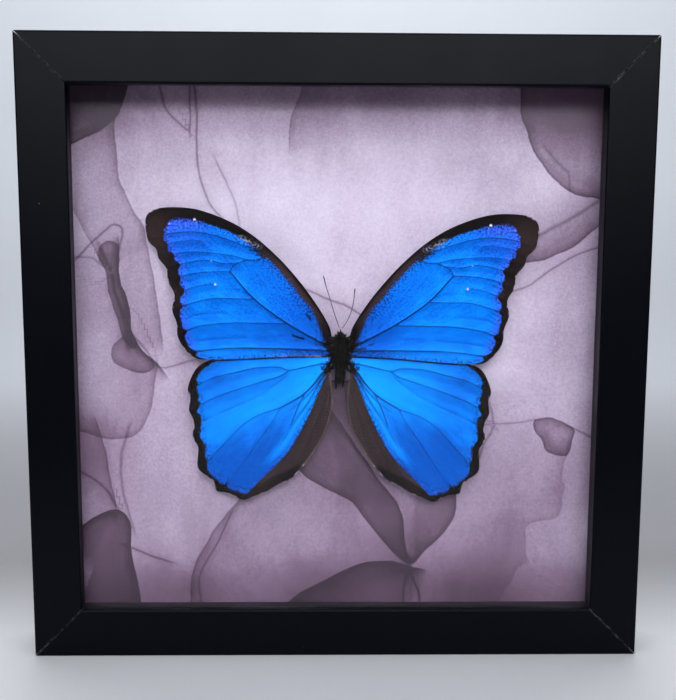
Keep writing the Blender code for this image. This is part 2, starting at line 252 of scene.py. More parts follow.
class Paint:
    """A material's node tree, with a short call for each kind of node used here."""

    def __init__(self, name):
        self.material = bpy.data.materials.new(name)
        self.material.use_nodes = True
        self.tree = self.material.node_tree
        self.tree.nodes.clear()

    def add(self, kind, inputs, **settings):
        made = self.tree.nodes.new("ShaderNode" + kind)
        for key, value in settings.items():
            setattr(made, key, value)
        for key, value in inputs.items():
            self.feed(made.inputs[key], value)
        return made

    def feed(self, socket, value):
        if isinstance(value, Signal):
            self.tree.links.new(value.socket, socket)
        elif isinstance(value, tuple) and socket.type == "RGBA":
            socket.default_value = (*value, 1.0)
        else:
            socket.default_value = value

    def value(self, kind, inputs, output=0, **settings):
        """One output of a new node."""
        return Signal(self, self.add(kind, inputs, **settings).outputs[output])

    def math(self, operation, a, b=0.0, clamp=False):
        return self.value("Math", {0: a, 1: b}, operation=operation, use_clamp=clamp)

    def most(self, a, b):
        return self.math("MAXIMUM", a, b)

    def exp(self, a):
        return self.math("EXPONENT", a)

    def rise(self, value, low, high):
        """0 below low, 1 above high, smooth between them."""
        inputs = {"Value": value, "From Min": low, "From Max": high}
        return self.value("MapRange", inputs, interpolation_type="SMOOTHSTEP")

    def fall(self, value, low, high):
        return 1.0 - self.rise(value, low, high)

    def mix(self, share, a, b, blend="MIX"):
        return self.value("Mix", {0: share, 6: a, 7: b}, 2, data_type="RGBA", blend_type=blend)

    def field(self, name):
        return self.value("Attribute", {}, "Fac", attribute_name=name)

    def vector(self, x, y, z=0.0):
        return self.value("CombineXYZ", {0: x, 1: y, 2: z})

    def position(self):
        """Place in the row frame, in millimetres."""
        coords = self.value("TexCoord", {}, "Object")
        return self.value("VectorMath", {0: coords, "Scale": 1 / MM}, operation="SCALE")

    def split(self, vector):
        return [Signal(self, part) for part in self.add("SeparateXYZ", {0: vector}).outputs]

    def stretch(self, vector, x, y, z):
        return self.value("VectorMath", {0: vector, 1: (x, y, z)}, operation="MULTIPLY")

    def noise(self, vector, scale, detail=3.0, roughness=0.5, distortion=0.0):
        return self.value("TexNoise", {"Vector": vector, "Scale": scale, "Detail": detail,
                                       "Roughness": roughness, "Distortion": distortion})

    def cells(self, vector, scale):
        """Voronoi cells: distance to the middle of the nearest, and a random number for it."""
        outputs = self.add("TexVoronoi", {"Vector": vector, "Scale": scale}).outputs
        chance = self.split(Signal(self, outputs["Color"]))[0]
        return Signal(self, outputs["Distance"]), chance

    def specks(self, vector, scale, radius, share):
        """Small round specks in a share of the cells."""
        gap, chance = self.cells(vector, scale)
        return self.fall(gap, radius * 0.6, radius) * self.rise(chance, 1 - share, 1.02 - share)

    def principled(self, colour, roughness, bump=None, **others):
        """A surface. Bump is given as height, depth in millimetres and strength."""
        named = {"Base Color": colour, "Roughness": roughness}
        named.update((key.replace("_", " "), value) for key, value in others.items())
        if bump:
            height, depth, strength = bump
            relief = {"Height": height, "Distance": depth * MM, "Strength": strength}
            named["Normal"] = self.value("Bump", relief)
        return self.value("BsdfPrincipled", named)

    def done(self, surface):
        self.add("OutputMaterial", {"Surface": surface})
        return self.material

    def coated(self, *look, **others):
        """The finished material, when it is one principled surface."""
        return self.done(self.principled(*look, **others))


def frame_foil():
    """Black satin foil with a fine grain along each rail, worn pale along the mitres."""
    p = Paint("black satin frame foil")
    place = p.position()
    x, y, z = p.split(place)
    height = z - CENTRE_Z / MM
    uprightness = abs(x) - abs(height)
    upright = p.rise(uprightness, -0.05, 0.05)
    level_grain = p.stretch(place, 0.1, 1.0, 1.0)
    upright_grain = p.stretch(place, 1.0, 1.0, 0.1)
    grain = p.value("Mix", {0: upright, 4: level_grain, 5: upright_grain}, 1, data_type="VECTOR")
    fibre = p.noise(grain, 2.6, roughness=0.65)
    pebble = p.noise(place, 3.4, detail=2.0)
    patches = p.noise(place, 0.035, detail=2.0)

    ragged = p.noise(place, 1.3)
    at_front = p.fall(y, FRONT_Y / MM + 0.7, FRONT_Y / MM + 1.2)
    mitre = p.fall(abs(uprightness), 0.1, 0.62)
    worn = mitre * at_front * p.rise(ragged, 0.47, 0.6)
    inner = FRAME_HALF - RAIL_FACE
    chip_x = x - (inner + 3.2)
    chip_z = height - (inner + 2.6)
    chip_gap = p.math("SQRT", chip_x * chip_x + chip_z * chip_z)
    chip = p.fall(chip_gap, 0.4, 2.4) * p.rise(ragged, 0.5, 0.56)
    chip *= p.fall(abs(uprightness), 0.3, 1.0)
    dust = p.specks(place, 0.16, 0.045, 0.16)
    pale = p.math("ADD", p.most(worn, chip) * 0.55, dust * 0.3, clamp=True)

    black = p.mix(fibre, (0.0002, 0.0007, 0.003), (0.0008, 0.0016, 0.0055))
    colour = p.mix(pale, black, (0.5, 0.48, 0.47))
    roughness = 0.27 + (fibre + patches) * 0.09
    relief = fibre * 0.6 + pebble * 0.4
    return p.coated(colour, roughness, Specular_IOR_Level=0.085, bump=(relief, 0.05, 0.4))


def clear_glass():
    """Low-reflection picture glass that lets light through to the print, with faint dust."""
    p = Paint("clear picture glass")
    place = p.position()
    smear = p.noise(place, 0.02)
    dust = p.specks(place, 0.11, 0.018, 0.12)
    tint = p.mix(smear, (0.985, 0.992, 0.99), (0.99, 0.995, 0.992))
    glass = p.principled(tint, dust * 0.3, Transmission_Weight=1.0, IOR=1.18)
    clear = p.value("BsdfTransparent", {"Color": tint})
    shadow = p.value("LightPath", {}, "Is Shadow Ray")
    return p.done(p.value("MixShader", {0: shadow, 1: glass, 2: clear}))


def spacer_card():
    """Matt black strip with a faint fibre."""
    p = Paint("matt black spacer card")
    place = p.position()
    fibre = p.noise(p.stretch(place, 1.0, 0.3, 1.0), 2.2, detail=4.0)
    colour = p.mix(fibre, (0.006, 0.005, 0.008), (0.016, 0.013, 0.018))
    return p.coated(colour, 0.55 + fibre * 0.2, Specular_IOR_Level=0.3, bump=(fibre, 0.06, 0.5))


def hardboard():
    """Brown hardboard: a mesh of pressed fibres with darker flecks."""
    p = Paint("brown hardboard")
    place = p.position()
    broad = p.noise(place, 0.05)
    fibre = p.noise(p.stretch(place, 0.6, 1.0, 1.7), 1.4, detail=5.0, roughness=0.7)
    flecks = p.specks(place, 0.5, 0.22, 0.25)
    base = p.mix(broad, (0.2, 0.115, 0.06), (0.27, 0.165, 0.09))
    base = p.mix(p.rise(fibre, 0.35, 0.7), base, (0.34, 0.215, 0.125))
    colour = p.mix(flecks * 0.5, base, (0.07, 0.038, 0.02))
    return p.coated(colour, 0.62 + fibre * 0.3, bump=(fibre, 0.15, 0.6))


def zinc_plate():
    """Zinc plated steel with rolling scratches and dull patches."""
    p = Paint("zinc plated steel")
    place = p.position()
    patches = p.noise(place, 0.5)
    scratches = p.noise(p.stretch(place, 0.6, 6.0, 6.0), 2.0)
    colour = p.mix(patches, (0.52, 0.53, 0.54), (0.68, 0.68, 0.67))
    roughness = 0.26 + (patches + scratches) * 0.14
    return p.coated(colour, roughness, Metallic=1.0, bump=(scratches, 0.02, 0.4))


def foam():
    """White foam with fine open cells."""
    p = Paint("white foam")
    place = p.position()
    gap, chance = p.cells(place, 2.4)
    colour = p.mix(chance, (0.62, 0.61, 0.6), (0.74, 0.73, 0.71))
    return p.coated(colour, 0.9, bump=(gap, 0.12, 0.6))


# ---- printed sheet
# Washes and lines are drawn in millimetres from the middle of the sheet: right, up. Ink lies on
# the left of a wash's edge as it runs, darkest at the edge, and fades over the given reach. Edges
# in the same layer stay well apart.

# strength, reach, edge
WASHES = [
    [  # layer 0
        (0.75, 20, [(-103, 76), (-93, 80), (-86.5, 83.5), (-82.5, 87), (-80, 91.5), (-78, 97.5),
            (-77.5, 103)]),
        (1.0, 26, [(-103, -71), (-97, -66), (-90, -62.5), (-84, -62.5), (-80.5, -68), (-80.5, -78),
            (-79, -88), (-77, -103)][::-1]),
        (0.66, 22, [(68, 103), (68.5, 90), (71, 82.5), (75, 74), (81, 66), (88, 61), (95, 59), (103, 58)]),
        (0.8, 16, [(30, -85), (20, -82.5), (10, -83.5), (0, -88), (-9, -92.5), (-17, -97.5), (-22, -103)]),
        (0.14, 26, [(64, -103), (66.5, -95), (69.5, -91.5), (71.5, -86), (75.5, -83), (75, -79.5),
            (75, -74), (74.5, -70.5), (76, -67.5), (81, -66.5), (86.5, -65), (88.5, -61.5), (89, -58.5),
            (90, -52.5), (88.5, -49.5), (89, -43.5), (90, -40)]),
        (0.34, 5, [(-38, -57), (-45, -66), (-52, -76.5), (-56.5, -87), (-58, -103)]),
        (0.3, 12, [(-103, -30), (-95, -32), (-86, -34), (-77, -31.5), (-72, -24), (-70.5, -15),
            (-69.5, -8)]),
    ],
    [  # layer 1
        (0.64, 24, [(-12, -14), (-20, -30), (-18, -42), (-10, -50), (0, -55.5), (7, -60), (15, -70.5),
            (22, -78.5), (29.5, -84), (34, -79.5), (40, -74), (45, -67.5), (47, -59), (44, -40), (30, -18),
            (5, -11), (-12, -14)]),
        (0.42, 16, [(-90.5, 36), (-89.5, 40), (-86.5, 42), (-83.5, 41), (-82.5, 38.5), (-82.5, 32.5),
            (-82, 26), (-80, 20.5), (-79, 14), (-78, 8), (-76, 3), (-78.5, 1.5), (-81.5, 5), (-83, 8.5),
            (-84, 13), (-85.5, 18.5), (-87, 25), (-88, 31), (-90.5, 36)]),
        (0.5, 10, [(76.5, -26.5), (77, -30.5), (80, -34), (81, -38), (84.5, -40), (90, -40), (92, -34.5),
            (93, -30), (88, -27), (83, -25.5), (79, -25.5), (76.5, -26.5)]),
        (0.55, 10, [(69, 34), (77, 35), (84, 37.5), (90, 40.5), (96, 45.5), (103, 51)]),
        (0.24, 8, [(-18, 80), (-17.5, 87), (-15, 94), (-12.5, 103)][::-1]),
    ],
    [  # layer 2
        (0.34, 15, [(-67, 6), (-68.5, 22), (-71.5, 38), (-73, 47), (-77, 53.5), (-80, 60.5), (-82, 67.5),
            (-82.5, 76.5), (-82.5, 86.5), (-80, 95), (-78, 103)]),
        (0.36, 12, [(-83, 5), (-86, 1), (-85.5, -3), (-82.5, -6), (-75, -8), (-70.5, -6.5), (-70.5, -4),
            (-74, 0), (-76.5, 3), (-80, 6.5), (-83, 5)]),
        (0.3, 9, [(-86, -62), (-87, -54), (-88.5, -46), (-89.5, -38), (-92, -30)]),
        (0.62, 16, [(29, -84), (27.5, -77), (26.5, -68.5), (25, -61.5), (22.5, -57), (17.5, -51),
            (12.5, -43.5), (5, -33), (-2, -22)]),
    ],
    [  # layer 3
        (0.55, 4, [(-68, -6), (-70.5, -3), (-74, 0), (-76, 3), (-78, 8), (-79, 14), (-80, 20.5), (-82, 26),
            (-82.5, 32.5), (-82.5, 38.5)]),
        (0.26, 14, [(-101, 56), (-97.5, 49.5), (-94, 43), (-90.5, 36)]),
    ],
]
# strength, half width, line
THREADS = [
    [
        (0.55, 0.35, [(-55, 103), (-55, 84)]),
        (0.5, 0.35, [(-65.5, 97), (-64, 91), (-61, 87), (-57.5, 84)]),
        (0.42, 0.35, [(-44, 69), (-41.5, 63.5), (-38.5, 57), (-37.5, 51)]),
        (0.6, 0.4, [(-11, 23.5), (-5, 21), (0, 19), (4, 17.5), (9, 14.5)]),
        (0.5, 0.35, [(103, 41.5), (90.5, 37), (80.5, 31), (73, 25.5), (66, 23)]),
        (0.55, 0.4, [(-98.5, 35.5), (-93, 41), (-88, 45.5), (-84.5, 48), (-81.5, 47), (-81, 44),
            (-82, 40)]),
        (0.45, 0.35, [(-76, 4), (-73, 0.5), (-70, -4), (-66, -6), (-58, -4)]),
        (0.55, 0.4, [(-81, -77), (-75, -79.5), (-68, -82)]),
        (0.35, 0.4, [(58, -28), (68, -27.5), (75, -26.5)]),
        (0.4, 0.5, [(59, -20), (60.5, -24), (60.5, -30), (58, -34.5), (56, -40)]),
        (0.45, 0.4, [(93, -30), (98.5, -32.5), (103, -35)]),
    ],
    [
        (0.6, 0.4, [(-53.5, 103), (-52.5, 88), (-52.5, 72), (-50.5, 62.5), (-48, 55.5), (-44, 51)]),
        (0.4, 0.35, [(-98.5, 36), (-95.5, 36), (-92.5, 35.5), (-90.5, 34)]),
        (0.45, 0.35, [(-42.5, -66), (-46, -74), (-51, -82.5), (-54, -90), (-53.5, -98)]),
        (0.5, 0.5, [(-103, -45), (-95, -49), (-89.5, -54), (-86.5, -59)]),
        (0.35, 0.6, [(-81, -32), (-83.5, -40), (-83.5, -52), (-82, -60), (-80, -68)]),
        (0.65, 0.45, [(29.5, -84), (30.5, -90), (33, -96), (33, -103)]),
        (0.55, 0.45, [(29.5, -84), (27.5, -90), (26.5, -96), (27.5, -103)]),
        (0.3, 0.5, [(80, 75), (84, 70.5), (87, 68), (87.5, 65)]),
        (0.4, 0.7, [(74, 43), (82, 47.5), (90, 52), (98, 57)]),
        (0.6, 0.8, [(-88.5, 37), (-86, 31), (-84.5, 24), (-82.5, 17), (-80.5, 10), (-80, 5)]),
    ],
]
# Ink clouds, with painted shade among them: the bell at (2, -22) is the painted shadow of the butterfly on
# the sheet. strength (below 0 is lighter), reach, middle
CLOUDS_AND_SHADE = [
    (-0.05, 34, (0, 62)), (-0.16, 26, (-52, -38)), (-0.18, 22, (60, 8)), (0.16, 20, (-92, 70)),
    (0.16, 18, (-88, 20)), (0.12, 12, (46, 72)), (0.08, 8, (60, 64)), (0.24, 24, (54, -98)),
    (0.06, 26, (66, -58)), (-0.2, 16, (96, -75)), (0.16, 16, (-95, -40)), (0.14, 14, (-70, -96)),
    (0.1, 22, (0, -98)), (0.45, 14, (2, -22)), (0.34, 20, (94, 86)), (0.18, 12, (88, 50)),
    (0.14, 16, (84, 6)), (0.14, 16, (-48, -82)), (0.25, 14, (-96, 94)), (0.16, 12, (-45, -20)),
    (0.14, 16, (90, 36)), (0.14, 14, (-14, -90)),
]
SHEET_PITCH = 1.0  # mm between points of the sheet


def ink_fields(points):
    """For each layer, the signed distance to its nearest edge or line and how strong that is. Ink
    more than a few mm from an edge is summed in one haze field."""
    fields = {"haze": np.zeros(len(points))}
    for kind, layers in (("wash", WASHES), ("thread", THREADS)):
        for number, layer in enumerate(layers):
            nearest = np.full(len(points), 1e9)
            signed, strength, third = (np.zeros(len(points)) for _ in range(3))
            for share, width, line in layer:
                if line[0] == line[-1]:
                    reach_in = depth_inside(points, smooth(line[:-1], 6, closed=True))
                    gap, side, keep = np.abs(reach_in), np.sign(reach_in), np.ones(len(points))
                else:
                    gap, side, past, _ = along(points, smooth(line, 6))
                    keep = (1 - ramp(past, 0.5, 7.5)) * (1 - ramp(gap, 2, 4) * (kind == "thread"))
                far = np.where(keep > 0.01, gap, gap + 4)
                if kind == "wash":
                    depth = gap * side
                    fields["haze"] += share * keep * ramp(depth, 1.5, 4.0) * np.exp(-depth.clip(0) / width)
                closer = far < nearest
                nearest = np.where(closer, far, nearest)
                signed = np.where(closer, gap * side, signed)
                strength = np.where(closer, share * keep, strength)
                third = np.where(closer, width, third)
            fields[f"{kind}_{number}"] = signed.clip(-40, 40)
            fields[f"{kind}_share_{number}"] = strength
            fields[f"{kind}_width_{number}"] = third
    # The cloud field holds ink clouds and painted shade.
    fields["cloud_and_shade"] = bells(points, CLOUDS_AND_SHADE)
    # Darker towards the bottom of the sheet, and painted shade along its bottom edge under the bottom rail.
    fields["cloud_and_shade"] += 0.36 * ramp(-points[:, 1], -70, 60) + 0.24 * ramp(-points[:, 1], 76, 98)
    # Painted shadow of the top rail across the top of the sheet.
    fields["cloud_and_shade"] += 0.22 * ramp(points[:, 1], 52, 97) + 0.26 * ramp(points[:, 1], 75, 90)
    return fields


def ink_print():
    """Thin mauve ink washes on white sheet: dark rims, fine threads and cloudy tones, with painted shade and
    painted shadow laid into the cloud field.
    """
    p = Paint("lilac ink wash print")
    place = p.position()
    wander = p.noise(place, 0.11) - 0.5
    fine = p.noise(place, 0.9, detail=4.0, roughness=0.6) - 0.5
    clouds = p.noise(place, 0.018, detail=4.0, distortion=0.6)
    streaks = p.noise(p.stretch(place, 1.0, 1.0, 0.45), 0.05, detail=5.0, distortion=1.2)
    shift = wander * 2.2 + fine * 0.25
    # Painted shade: the cloud field adds the painted shadows of the top rail and the butterfly and painted
    # shade along the bottom rail.
    density = 0.15 + p.field("cloud_and_shade")
    density += (clouds - 0.5) * 0.55
    density += (streaks - 0.5) * 0.28
    density = p.most(density, 0.0)
    patchy = 0.66 + streaks * 0.68
    density += p.field("haze") * 0.7 * patchy
    for number in range(len(WASHES)):
        s = p.field(f"wash_{number}") + shift
        reach = p.field(f"wash_width_{number}")
        body = p.exp(s * -1.0 / p.most(reach, 1.0))
        rim = p.exp(p.most(s, 0.0) * -1.4)
        near = body * 0.7 * p.fall(s, 1.5, 4.0)
        layer = near * patchy + rim * 0.75
        layer *= p.rise(s, -0.25, 0.35)
        density += layer * p.field(f"wash_share_{number}")
    for number in range(len(THREADS)):
        s = p.field(f"thread_{number}") + wander * 1.2
        across = s / p.most(p.field(f"thread_width_{number}"), 0.2)
        core = p.exp(across * across * -1.0)
        halo = p.exp(abs(s) * -1.2)
        layer = core * 0.55 + halo * 0.18
        density += layer * p.field(f"thread_share_{number}")
    tooth = p.noise(place, 1.2, roughness=0.7) - 0.5
    grain = density + (fine * 0.12 + tooth * 0.38)
    ramp_node = p.add("ValToRGB", {"Fac": grain * 0.7})
    tones = [(0.0, (0.58, 0.495, 0.62)), (0.126, (0.47, 0.385, 0.5)), (0.294, (0.315, 0.235, 0.33)),
             (0.49, (0.175, 0.11, 0.175)), (0.7, (0.08, 0.042, 0.076)), (1.0, (0.028, 0.012, 0.026))]
    stops = ramp_node.color_ramp.elements
    for index, (where, tone) in enumerate(tones):
        stop = stops[index] if index < 2 else stops.new(where)
        stop.position = where
        stop.color = (*tone, 1.0)
    paper = p.noise(place, 3.0)
    return p.coated(Signal(p, ramp_node.outputs[0]), 0.46 + paper * 0.16, Specular_IOR_Level=0.3,
                    bump=(paper, 0.02, 0.3))


def printed_sheet():
    low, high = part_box("backing_print")
    half = (high.x - low.x) / 2 / MM
    count = int(round(2 * half / SHEET_PITCH)) + 1
    ticks = np.linspace(-half, half, count)
    grid_x, grid_z = np.meshgrid(ticks, ticks)
    flat = columns(grid_x.ravel(), grid_z.ravel())
    thickness = (high.y - low.y) / MM
    cockle = 0.03 * lumps(flat, 5, 70)  # the paper is not quite flat
    front = columns(flat[:, 0], np.maximum(cockle, 0), flat[:, 1])
    back = columns(flat[:, 0], thickness, flat[:, 1])
    index = np.arange(count * count).reshape(count, count)
    a, b, c, d = index[:-1, :-1], index[:-1, 1:], index[1:, 1:], index[1:, :-1]
    faces = np.stack([a, b, c, d], -1).reshape(-1, 4).tolist()
    rim = np.concatenate([index[0, :-1], index[:-1, -1], index[-1, :0:-1], index[:0:-1, 0]])
    under = len(flat) + np.arange(len(rim))
    sides = np.stack([np.roll(rim, -1), rim, under, np.roll(under, -1)], -1)
    faces += sides.tolist() + [under[::-1].tolist()]
    points = np.vstack([flat, flat[rim]])
    verts = np.vstack([front, back[rim]])
    place = Matrix.Translation(((low.x + high.x) / 2, low.y, CENTRE_Z))
    piece("printed_sheet", verts, faces, place, ink_print(), ["backing_print"], ink_fields(points))


# ---- wings
# Lines are in millimetres from the middle of the thorax: outward, towards the head.

FOREWING_VEINS = [  # how dark, line
    (1.0, [(4.5, 4.5), (6.5, 6), (20, 13.5), (32.5, 22.5), (41.5, 32.5)]),
    (0.8, [(41.5, 32.5), (40.5, 34.5), (38, 36), (34.5, 37), (31.5, 37), (29.5, 38)]),
    (0.65, [(29.5, 38.5), (36, 42), (46, 45.5), (55.5, 47), (65, 46), (70.5, 44.5)]),
    (0.3, [(51.5, 43.5), (55.5, 44), (59, 43.5), (63, 43), (69, 41)]),
    (0.55, [(31.5, 37), (34.5, 37), (41, 38.5), (50.5, 39.5), (58, 39.5), (63.5, 38.5), (68, 37)]),
    (0.6, [(38, 36), (44, 35.5), (48.5, 36.5), (53, 36.5), (60.5, 35), (66, 33.5)]),
    (0.6, [(41.5, 32.5), (46, 32.5), (53, 32), (59.5, 30.5), (64.5, 28.5)]),
    (0.45, [(48.5, 28), (54, 27), (59.5, 25), (62.5, 24)]),
    (0.65, [(32.5, 22.5), (41, 22.5), (48.5, 22.5), (56.5, 20.5), (63, 18.5)]),
    (0.65, [(20, 13.5), (31, 13.5), (41, 13.5), (51, 12.5), (56.5, 11), (61, 9)]),
    (0.8, [(4.5, 3.5), (19, 4), (41, 4), (55, 2.5), (58, 2)]),
]
FOREWING_FOLDS = [
    [(44, 17), (47, 17), (53, 16.5), (59, 14.5)],
    [(36, 8), (46, 7.5), (53.5, 6.5)],
]
FOREWING_BLUE = [
    (3, 2), (4.5, 5.5), (6.5, 8), (10, 17), (15, 23.5), (21, 31), (28.5, 38.5), (33.5, 42.5),
    (40, 46.5), (46, 49), (54, 51), (60.5, 51.5), (63.5, 51), (65, 49), (66.5, 45.5),
    (65, 41), (63, 38), (61, 34.5), (61, 30.5), (59.5, 25), (60.5, 21), (60.5, 17),
    (59.5, 12.5), (58.5, 8), (56.5, 3.5), (53.5, 0.5), (48, -0.5), (36, 0), (22, 1), (7, 1.5),
]
HINDWING_VEINS = [
    (0.6, [(5, -2), (7, -1.5), (19, -4), (23, -3), (32.5, -3.5), (40.5, -5.5), (48.5, -7.5), (52.5, -9.5),
        (57, -11.5)]),
    (0.6, [(19, -4), (23, -6.5), (32.5, -9.5), (46.5, -14.5), (52.5, -17.5), (57, -20)]),
    (0.9, [(5, -3), (13, -12.5), (22.5, -18.5)]),
    (0.5, [(22.5, -18.5), (31, -21.5), (36.5, -25), (41.5, -30), (47, -36), (53, -43)]),
    (0.35, [(22.5, -18.5), (26, -24.5), (31, -31.5), (35, -37.5), (39.5, -44), (45, -51)]),
    (0.65, [(13, -12.5), (16, -18.5), (18.5, -25)]),
]
HINDWING_FOLDS = [
    [(20.5, -6.5), (31, -14), (44.5, -20.5), (52, -24)],
    [(5, -4), (12, -13.5), (19, -19.5)],
    [(5.5, -5), (11.5, -15.5), (16.5, -23.5), (22.5, -33)],
    [(5.5, -6.5), (11, -18), (16, -25.5), (24.5, -40), (28.5, -45)],
]
HINDWING_BLUE = [
    (4, 3), (20, 4.5), (38, 3), (48, -1.5), (53, -5.5), (55, -11), (53.5, -14),
    (54.5, -19.5), (52.5, -23), (53, -30), (51, -33.5), (51, -41.5), (47.5, -46), (42.5, -50),
    (39, -51), (34.5, -52), (31.5, -48.5), (28, -45), (24.5, -41.5), (19, -35), (14, -26),
    (9.5, -16.5), (5, -5), (4, -1),
]
FOREWING_MARKS = {  # dark worn strokes: strength, half width, line
    "left": [(1.0, 0.7, [(18.0, 9.2), (16.4, 8.5), (13.8, 8.0)]), (0.7, 0.5, [(17.0, 7.2), (15.2, 6.9)]),
             (0.8, 1.0, [(11.2, 15.2), (12.6, 17.0)]), (0.7, 1.2, [(6.0, 5.0), (9.5, 6.0)])],
    "right": [(0.8, 0.6, [(12.6, 6.4), (10.6, 6.0)]), (0.9, 0.9, [(5.5, 4.0), (9.4, 4.6)]),
              (0.8, 0.5, [(44.2, 0.9), (43.6, 2.2)]), (0.6, 0.6, [(24.0, 8.4), (28.0, 8.8)]),
              (0.6, 1.0, [(14.0, 12.0), (15.6, 14.0)])],
}
FOREWING_SPOTS = [  # pale: how strong, radius, middle
    (0.9, 0.65, (54.8, 51.6)), (0.5, 0.6, (54.0, 50.4)), (0.5, 0.8, (64.0, 49.9)),
    (0.5, 0.5, (51.7, 43.4)), (0.55, 0.7, (48.6, 36.5)), (0.85, 0.6, (47.1, 27.8)),
]
# Pale streak near the fore wing tip: a painted glint, partly worn scales.
TIP_GLINT_AND_SCUFF = [(37.6, 45.4), (34.3, 43.7), (30.6, 42.1)]
RIPPLES = [(59.5, 28), (58.5, 18), (58, 9.5)]
# Painted sheen: the hind wing's blue is painted lighter along this line and darker below it.
SHEEN_BAND = [(10.8, -4.4), (24.7, -14.6), (36.7, -20.4), (49.5, -29.5)]
FLAP_FOLD = [(4.9, -5.1), (9.5, -16.4), (13.8, -26.2), (19.0, -35.2), (24.6, -41.4), (30.2, -46.9)]
COSTA = [(3.5, 9.6), (12.7, 25.6), (21.8, 36.2), (31.8, 45.1), (41.6, 51.0), (53.6, 55.2), (63.7, 55.9)]
POINT_PITCH = 0.55  # mm between points inside a wing
WING_SHELL = 0.14  # mm, thickness of a wing


def cad_outline(node, to_plane):
    """The closed outline of a flat CAD plate, in millimetres in its own plane."""
    bm = bmesh.new()
    bm.from_mesh(nodes[node].data)
    bmesh.ops.remove_doubles(bm, verts=bm.verts, dist=1e-6)
    front = {face for face in bm.faces if face.normal.y < -0.9}
    rim = {}
    for edge in bm.edges:
        if len(front.intersection(edge.link_faces)) == 1:
            for start, end in (edge.verts, reversed(edge.verts)):
                rim.setdefault(start.index, []).append(end.index)
    bm.verts.ensure_lookup_table()
    first = next(iter(rim))
    chain = [first, rim[first][0]]
    while True:
        onward = [v for v in rim[chain[-1]] if v != chain[-2]][0]
        if onward == first:
            break
        chain.append(onward)
    places = [to_plane @ bm.verts[v].co for v in chain]
    bm.free()
    return np.array([(p.x / MM, p.z / MM) for p in places])


def wing_points(outline, lines):
    """Points and triangles that fill a wing, with edges along its rim and its lines."""
    rim_count = len(outline)
    verts = [outline]
    edges = [(i, (i + 1) % rim_count) for i in range(rim_count)]
    total = rim_count
    drawn = []
    for line in lines:
        run = smooth(line, 8)
        drawn.append(run)
        run = run[depth_inside(run, outline) > 0.25]
        verts.append(run)
        edges += [(total + i, total + i + 1) for i in range(len(run) - 1)]
        total += len(run)
    low, high = outline.min(0), outline.max(0)
    rows = np.arange(low[1], high[1], POINT_PITCH * 0.866)
    places = np.arange(low[0], high[0], POINT_PITCH)
    grid = np.array([(u + (k % 2) * POINT_PITCH / 2, v) for k, v in enumerate(rows) for u in places])
    grid = grid[depth_inside(grid, outline) > 0.3]
    clear = np.min([to_line(grid, run) for run in drawn], axis=0) > 0.25
    verts.append(grid[clear])
    coords = [Vector(v) for v in np.vstack(verts)]
    made, _, faces, _, _, _ = delaunay_2d_cdt(coords, edges, [], 1, 1e-4)
    return np.array([tuple(v) for v in made]), [list(f) for f in faces]


def wing_shell(points, faces, relief, flip):
    """A thin closed shell: the front at the given heights and a back behind it."""
    count = len(points)
    edge_use = {}
    for face in faces:
        for a, b in zip(face, face[1:] + face[:1]):
            edge_use[(a, b)] = face
    rim = [(a, b) for a, b in edge_use if (b, a) not in edge_use]
    sign = -1 if flip else 1
    front = columns(sign * points[:, 0], -relief, points[:, 1])
    back = front + [0, WING_SHELL, 0]
    under = [[v + count for v in reversed(face)] for face in faces]
    sides = [[b, a, a + count, b + count] for a, b in rim]
    shell = list(faces) + under + sides
    if flip:
        shell = [face[::-1] for face in shell]
    return np.vstack([front, back]), shell


def dark_lines(points, veins):
    """Darkest vein at each point: distance to it, and its strength there."""
    gaps = np.array([to_line(points, smooth(line, 6)) for _, line in veins])
    shares = np.array([share for share, _ in veins])
    scaled = gaps / (0.35 + 0.65 * shares[:, None])
    best = scaled.argmin(0)
    return gaps.min(0), shares[best]


def common_fields(points, outline, veins, folds, blue):
    vein, share = dark_lines(points, veins)
    fold = np.min([to_line(points, smooth(line, 6)) for line in folds], axis=0)
    reach = np.hypot(points[:, 0], points[:, 1])
    return {
        "u": points[:, 0], "v": points[:, 1],
        "edge": depth_inside(points, outline).clip(0, 30),
        "blue": depth_inside(points, smooth(blue, 4, closed=True)).clip(-20, 20),
        "vein": vein.clip(0, 12), "vein_share": share, "fold": fold.clip(0, 12),
        "reach": reach, "ray": np.arctan2(points[:, 1], points[:, 0]),
        "flap": np.full(len(points), -20.0), "spot": 0 * reach, "mark": 0 * reach,
    }


def vein_relief(fields, seed):
    """Veins stand up, the skin sags between them, and the whole wing waves a little."""
    points = columns(fields["u"], fields["v"])
    raised = 0.16 * fields["vein_share"] * ridge(fields["vein"], 0.38)
    sag = 0.22 * ramp(fields["vein"], 0, 3.5) * ramp(fields["edge"], 0, 4)
    crease = 0.1 * ridge(fields["fold"], 0.5)
    return raised - sag - crease + 0.16 * lumps(points, seed, 34)


